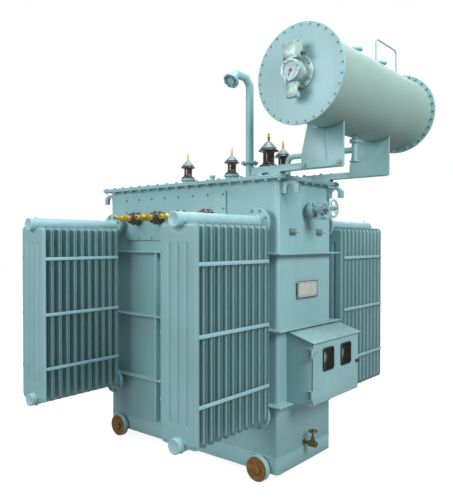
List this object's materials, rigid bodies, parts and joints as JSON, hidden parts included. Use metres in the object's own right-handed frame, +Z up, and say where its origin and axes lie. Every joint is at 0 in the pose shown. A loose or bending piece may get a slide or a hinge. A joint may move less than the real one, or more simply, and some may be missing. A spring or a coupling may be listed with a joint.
{
  "type": "oil-filled power transformer with conservator, on rollers",
  "caption": "Oil-filled power transformer: rectangular stiffened tank on rollers, panel radiators on headers, overhung conservator, porcelain bushings, vent pipe and control box.",
  "frame": {"origin": "on the floor, under the middle of the overall box", "axes": "+X along the tank to the end with the conservator and control box, +Y from the low-voltage side to the back, +Z up"},
  "size_m": [2.462, 2.352, 2.988],
  "materials": {
    "body_paint": "satin enamel over mild steel, weathered",
    "radiator_paint": "satin enamel over pressed steel",
    "roller_iron": "rusted disc, painted tread",
    "axle_steel": "rusty paint",
    "brown_porcelain": "brown glaze",
    "terminal_brass": "bare turned brass",
    "cap_metal": "cast cap with brass stud",
    "cast_alloy": "cast and lightly painted",
    "dial_white": "white dial behind a pane",
    "handwheel_iron": "painted casting",
    "valve_iron": "painted casting",
    "valve_brass": "cast brass",
    "plate_aluminium": "blank anodised sheet",
    "window_glass": "clear pane",
    "knob_black": "moulded",
    "dial_case": "round case with white dial",
    "inner_paint": "olive primer",
    "hinge_steel": "plain steel"
  },
  "bodies": {
    "transformer": {"bushing_porcelains": "brown_porcelain", "bushing_terminals": "cap_metal", "bushing_turrets": "body_paint", "cable_lugs": "body_paint", "conservator_beams": "body_paint", "conservator_caps": "body_paint", "conservator_front_plate": "body_paint", "conservator_pipe": "body_paint", "conservator_rail": "body_paint", "conservator_rear_plate": "body_paint", "conservator_saddles": "body_paint", "conservator_shell": "body_paint", "control_box": "body_paint", "control_box_roof": "body_paint", "curb_flange": "body_paint", "door_hinge_pins": "hinge_steel", "drain_valve": "valve_brass", "filling_stub": "body_paint", "filter_valve": "valve_iron", "gauge_bezel": "cast_alloy", "gauge_body": "cast_alloy", "gauge_dial": "dial_white", "gauge_terminal_boxes": "cast_alloy", "instrument_dials": "dial_case", "instrument_plate": "inner_paint", "lifting_hooks": "body_paint", "lv_porcelains": "brown_porcelain", "lv_stems": "terminal_brass", "lv_terminal_plate": "body_paint", "nameplate": "plate_aluminium", "radiator_left_front_headers": "radiator_paint", "radiator_left_front_panels": "radiator_paint", "radiator_left_rear_headers": "radiator_paint", "radiator_left_rear_panels": "radiator_paint", "radiator_right_front_headers": "radiator_paint", "radiator_right_front_panels": "radiator_paint", "radiator_right_rear_headers": "radiator_paint", "radiator_right_rear_panels": "radiator_paint", "radiator_stubs": "radiator_paint", "ring_stiffener_lower": "body_paint", "ring_stiffener_middle": "body_paint", "ring_stiffener_upper": "body_paint", "roller_axles": "axle_steel", "tank_base": "body_paint", "tank_body": "body_paint", "tank_cover": "body_paint", "upright_stiffeners": "body_paint", "vent_pipe": "body_paint"},
    "roller_left_front": {"roller_left_front": "roller_iron"},
    "roller_left_rear": {"roller_left_rear": "roller_iron"},
    "roller_right_front": {"roller_right_front": "roller_iron"},
    "roller_right_rear": {"roller_right_rear": "roller_iron"},
    "control_door": {"control_door": "body_paint", "door_windows": "window_glass", "door_knob": "knob_black"},
    "filter_handwheel": {"filter_handwheel": "handwheel_iron"},
    "drain_handwheel": {"drain_handwheel": "valve_brass"}
  },
  "joints": [
    {"name": "roller_left_front_roll", "type": "hinge", "parent": "transformer", "child": "roller_left_front", "pos_m": [-0.963, -0.369, 0.085], "axis": [0, 1, 0], "continuous": true},
    {"name": "roller_left_rear_roll", "type": "hinge", "parent": "transformer", "child": "roller_left_rear", "pos_m": [-0.963, 0.369, 0.085], "axis": [0, 1, 0], "continuous": true},
    {"name": "roller_right_front_roll", "type": "hinge", "parent": "transformer", "child": "roller_right_front", "pos_m": [0.443, -0.369, 0.085], "axis": [0, 1, 0], "continuous": true},
    {"name": "roller_right_rear_roll", "type": "hinge", "parent": "transformer", "child": "roller_right_rear", "pos_m": [0.443, 0.369, 0.085], "axis": [0, 1, 0], "continuous": true},
    {"name": "control_door_hinge", "type": "hinge", "parent": "transformer", "child": "control_door", "pos_m": [0.7785, -0.246, 0.73], "axis": [0, 0, -1], "range_deg": [0, 110]},
    {"name": "filter_handwheel_turn", "type": "hinge", "parent": "transformer", "child": "filter_handwheel", "pos_m": [0.795, 0, 1.803], "axis": [1, 0, 0], "continuous": true},
    {"name": "drain_handwheel_turn", "type": "hinge", "parent": "transformer", "child": "drain_handwheel", "pos_m": [0.651, -0.02, 0.286], "axis": [0, 0, 1], "continuous": true}
  ]
}
